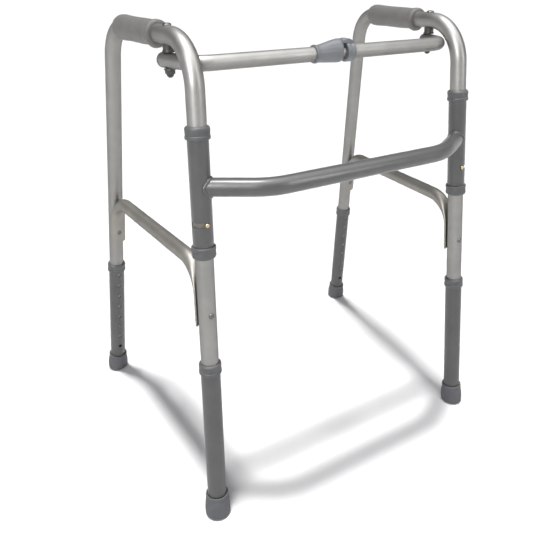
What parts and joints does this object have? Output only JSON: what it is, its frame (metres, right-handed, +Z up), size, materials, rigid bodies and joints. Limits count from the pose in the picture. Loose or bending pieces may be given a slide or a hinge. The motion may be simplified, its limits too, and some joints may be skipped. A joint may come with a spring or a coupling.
{
  "type": "walking frame",
  "caption": "Folding walking frame of aluminium tube with two hinged side frames, a bowed front brace, a folding upper bar, hand grips and height-adjustable legs.",
  "frame": {"origin": "floor, at the middle of the frame's box", "axes": "+Z up, -Y the closed front of the frame, +Y the open side where the user stands, +X the user's right when facing the front"},
  "size_m": [0.6066, 0.4772, 0.7256],
  "materials": {
    "silver_tube": "satin anodised",
    "brace_grey": "glossy powder coat",
    "leg_grey": "satin dark grey",
    "collar_grey": "fine grain",
    "grip_grey": "soft vinyl",
    "sleeve_grey": "satin",
    "tip_grey": "matt",
    "dark_spacer": "satin",
    "bright_steel": "bright zinc"
  },
  "bodies": {
    "front_brace": {"front_brace_tube": "brace_grey", "left_sleeve": "brace_grey", "left_upper_sleeve_collar": "collar_grey", "left_lower_sleeve_collar": "collar_grey", "right_sleeve": "brace_grey", "right_upper_sleeve_collar": "collar_grey", "right_lower_sleeve_collar": "collar_grey"},
    "left_side": {"left_frame_tube": "silver_tube", "left_side_brace": "silver_tube", "left_front_brace_rivet": "bright_steel", "left_rear_brace_rivet": "bright_steel", "left_grip": "grip_grey", "left_pivot_bolt": "bright_steel", "left_pivot_spacer": "dark_spacer", "left_pivot_washer": "bright_steel", "left_pivot_nut": "bright_steel"},
    "left_lock_button": {"left_lock_button": "bright_steel"},
    "left_front_leg": {"left_front_leg_tube": "leg_grey", "left_front_leg_collar": "collar_grey", "left_front_rubber_tip": "tip_grey"},
    "left_front_snap_button": {"left_front_snap_button": "bright_steel"},
    "left_rear_leg": {"left_rear_leg_tube": "leg_grey", "left_rear_leg_collar": "collar_grey", "left_rear_rubber_tip": "tip_grey"},
    "left_rear_snap_button": {"left_rear_snap_button": "bright_steel"},
    "right_side": {"right_frame_tube": "silver_tube", "right_side_brace": "silver_tube", "right_front_brace_rivet": "bright_steel", "right_rear_brace_rivet": "bright_steel", "right_grip": "grip_grey", "right_pivot_bolt": "bright_steel", "right_pivot_spacer": "dark_spacer", "right_pivot_washer": "bright_steel", "right_pivot_nut": "bright_steel"},
    "right_lock_button": {"right_lock_button": "bright_steel"},
    "right_front_leg": {"right_front_leg_tube": "leg_grey", "right_front_leg_collar": "collar_grey", "right_front_rubber_tip": "tip_grey"},
    "right_front_snap_button": {"right_front_snap_button": "bright_steel"},
    "right_rear_leg": {"right_rear_leg_tube": "leg_grey", "right_rear_leg_collar": "collar_grey", "right_rear_rubber_tip": "tip_grey"},
    "right_rear_snap_button": {"right_rear_snap_button": "bright_steel"},
    "left_bar": {"left_bar_tube": "silver_tube", "left_bar_cap": "sleeve_grey"},
    "right_bar": {"right_bar_tube": "silver_tube", "right_bar_cap": "sleeve_grey", "hinge_knuckle": "sleeve_grey", "hinge_barrel": "silver_tube", "hinge_pin": "bright_steel"},
    "lock_sleeve": {"lock_sleeve": "sleeve_grey"}
  },
  "joints": [
    {"name": "left_fold", "type": "hinge", "parent": "front_brace", "child": "left_side", "pos_m": [-0.2507, -0.218, 0], "axis": [-0.0342, -0.0769, -0.9965], "range_deg": [0, 92]},
    {"name": "right_fold", "type": "hinge", "parent": "front_brace", "child": "right_side", "pos_m": [0.2507, -0.218, 0], "axis": [-0.0342, 0.0769, 0.9965], "range_deg": [0, 57.05]},
    {"name": "left_bar_fold", "type": "hinge", "parent": "left_side", "child": "left_bar", "pos_m": [-0.232, -0.09194, 0.6742], "axis": [-0.0129, 0.0322, 0.9994], "range_deg": [0, 67.2]},
    {"name": "right_bar_fold", "type": "hinge", "parent": "right_side", "child": "right_bar", "pos_m": [0.232, -0.09194, 0.6742], "axis": [0.0007, -0.0062, 1], "range_deg": [-12.59, 0]},
    {"name": "lock_sleeve_slide", "type": "slide", "parent": "left_bar", "child": "lock_sleeve", "axis": [-1, 0, 0], "range_m": [0, 0.1474]},
    {"name": "left_front_leg_height", "type": "slide", "parent": "left_side", "child": "left_front_leg", "axis": [0.0342, 0.0769, 0.9965], "range_m": [-0.127, 0.0508]},
    {"name": "left_front_button_press", "type": "slide", "parent": "left_side", "child": "left_front_snap_button", "axis": [0.0801, -0.994, 0.074], "range_m": [0, 0.003], "stiffness_N_per_m": 600, "springref_m": -0.002},
    {"name": "left_rear_leg_height", "type": "slide", "parent": "left_side", "child": "left_rear_leg", "axis": [0.0511, -0.1454, 0.988], "range_m": [-0.127, 0.0508]},
    {"name": "left_rear_button_press", "type": "slide", "parent": "left_side", "child": "left_rear_snap_button", "axis": [-0.0705, 0.9863, 0.1488], "range_m": [0, 0.003], "stiffness_N_per_m": 600, "springref_m": -0.002},
    {"name": "left_lock_button_press", "type": "slide", "parent": "left_side", "child": "left_lock_button", "axis": [-0.0801, 0.994, -0.074], "range_m": [0, 0.003], "stiffness_N_per_m": 600, "springref_m": -0.002},
    {"name": "right_front_leg_height", "type": "slide", "parent": "right_side", "child": "right_front_leg", "axis": [-0.0342, 0.0769, 0.9965], "range_m": [-0.127, 0.0508]},
    {"name": "right_front_button_press", "type": "slide", "parent": "right_side", "child": "right_front_snap_button", "axis": [-0.0801, -0.994, 0.074], "range_m": [0, 0.003], "stiffness_N_per_m": 600, "springref_m": -0.002},
    {"name": "right_rear_leg_height", "type": "slide", "parent": "right_side", "child": "right_rear_leg", "axis": [-0.0511, -0.1454, 0.988], "range_m": [-0.127, 0.0508]},
    {"name": "right_rear_button_press", "type": "slide", "parent": "right_side", "child": "right_rear_snap_button", "axis": [0.0705, 0.9863, 0.1488], "range_m": [0, 0.003], "stiffness_N_per_m": 600, "springref_m": -0.002},
    {"name": "right_lock_button_press", "type": "slide", "parent": "right_side", "child": "right_lock_button", "axis": [0.0801, 0.994, -0.074], "range_m": [0, 0.003], "stiffness_N_per_m": 600, "springref_m": -0.002}
  ],
  "couplings": [
    {"joint": "right_fold", "follows": "left_fold", "ratio": 0.62},
    {"joint": "left_bar_fold", "follows": "left_fold", "ratio": 0.73025},
    {"joint": "right_bar_fold", "follows": "left_fold", "ratio": -0.13661},
    {"joint": "lock_sleeve_slide", "follows": "left_fold", "m_per_rad": 0.0917}
  ]
}
